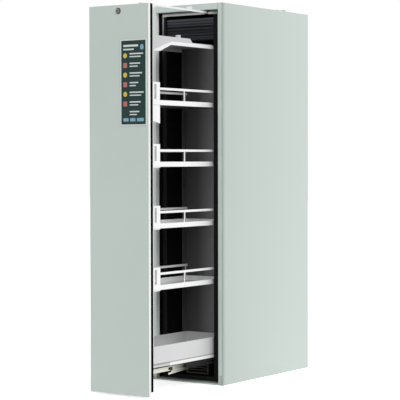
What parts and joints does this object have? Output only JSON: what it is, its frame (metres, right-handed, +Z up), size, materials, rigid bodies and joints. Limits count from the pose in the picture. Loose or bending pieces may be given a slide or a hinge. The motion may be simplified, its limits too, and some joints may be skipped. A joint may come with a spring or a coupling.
{
  "type": "safety storage cabinet with a vertical pull-out drawer",
  "caption": "Tall narrow fire-insulated safety cabinet, grey-green, with one full-height drawer pulled out: white lipped shelves, slotted guards, spill tray and telescopic slides.",
  "frame": {"origin": "middle of the casing's footprint, on the floor", "axes": "+Z up; the casing's open side faces -Y and the drawer pulls out towards -Y; +X is to the right of someone who faces the drawer front"},
  "size_m": [0.45, 1.4518, 1.996],
  "materials": {
    "casing_paint": "satin",
    "front_paint": "satin",
    "white_steel": "satin",
    "fire_board": "matt",
    "white_board": "satin",
    "dark_lining": "matt",
    "grey_steel": "matt",
    "dark_steel": "matt",
    "zinc_steel": "bright zinc",
    "black_rubber": "matt",
    "black_plastic": "matt",
    "pale_plastic": "satin",
    "sign_plastic": "satin",
    "chrome": "polished"
  },
  "bodies": {
    "cabinet": {"side_panel_left": "casing_paint", "side_panel_right": "casing_paint", "back_panel": "casing_paint", "roof_panel": "casing_paint", "base_plate": "casing_paint", "header": "casing_paint", "side_board_left": "fire_board", "side_board_right": "fire_board", "back_board": "fire_board", "top_board": "fire_board", "floor_board": "fire_board", "side_lining_left": "dark_lining", "side_lining_right": "dark_lining", "back_lining": "dark_lining", "ceiling_lining": "dark_lining", "floor_lining": "dark_lining", "rebate_frame": "grey_steel", "rebate_seal": "black_rubber", "exhaust_grille": "black_plastic", "exhaust_plenum": "grey_steel", "exhaust_spigot": "zinc_steel", "supply_spigot": "zinc_steel", "supply_riser": "grey_steel", "floor_duct": "dark_steel", "duct_grille": "dark_steel", "levelling_foot_1": "black_plastic", "levelling_foot_2": "black_plastic", "levelling_foot_3": "black_plastic", "levelling_foot_4": "black_plastic", "header_boss": "pale_plastic", "slide_fixed_left": "zinc_steel", "slide_fixed_right": "zinc_steel", "slide_carrier_left": "zinc_steel", "slide_carrier_right": "zinc_steel", "guide_channel": "zinc_steel"},
    "drawer": {"front_skin": "front_paint", "front_insulation": "white_board", "front_seal": "black_rubber", "sign_panel": "sign_plastic", "front_upright": "white_steel", "rear_upright": "grey_steel", "top_plate": "white_steel", "spill_tray": "white_steel", "drawer_carriage": "white_steel", "shelf_1": "white_steel", "shelf_2": "white_steel", "shelf_3": "white_steel", "shelf_4": "white_steel", "shelf_guard_1": "white_steel", "shelf_guard_2": "white_steel", "shelf_guard_3": "white_steel", "shelf_guard_4": "white_steel", "slide_drawer_left": "zinc_steel", "slide_drawer_right": "zinc_steel", "guide_bar": "white_steel"},
    "mid_slides": {"slide_middle_left": "zinc_steel", "slide_middle_right": "zinc_steel"},
    "lock": {"lock_cylinder": "chrome"},
    "exhaust_flap": {"exhaust_damper": "zinc_steel"},
    "supply_flap": {"supply_damper": "zinc_steel"}
  },
  "joints": [
    {"name": "drawer_slide", "type": "slide", "parent": "cabinet", "child": "drawer", "axis": [0, 1, 0], "range_m": [0, 0.568]},
    {"name": "middle_slide", "type": "slide", "parent": "cabinet", "child": "mid_slides", "axis": [0, 1, 0], "range_m": [0, 0.284]},
    {"name": "lock_turn", "type": "hinge", "parent": "drawer", "child": "lock", "pos_m": [0, -1.01, 1.89], "axis": [0, -1, 0], "range_deg": [0, 90]},
    {"name": "exhaust_flap_turn", "type": "hinge", "parent": "cabinet", "child": "exhaust_flap", "pos_m": [-0.06, 0.3, 1.9545], "axis": [1, 0, 0], "range_deg": [0, 90]},
    {"name": "supply_flap_turn", "type": "hinge", "parent": "cabinet", "child": "supply_flap", "pos_m": [0.06, 0.3885, 1.9545], "axis": [1, 0, 0], "range_deg": [0, 90]}
  ],
  "couplings": [
    {"joint": "middle_slide", "follows": "drawer_slide", "ratio": 0.5}
  ]
}
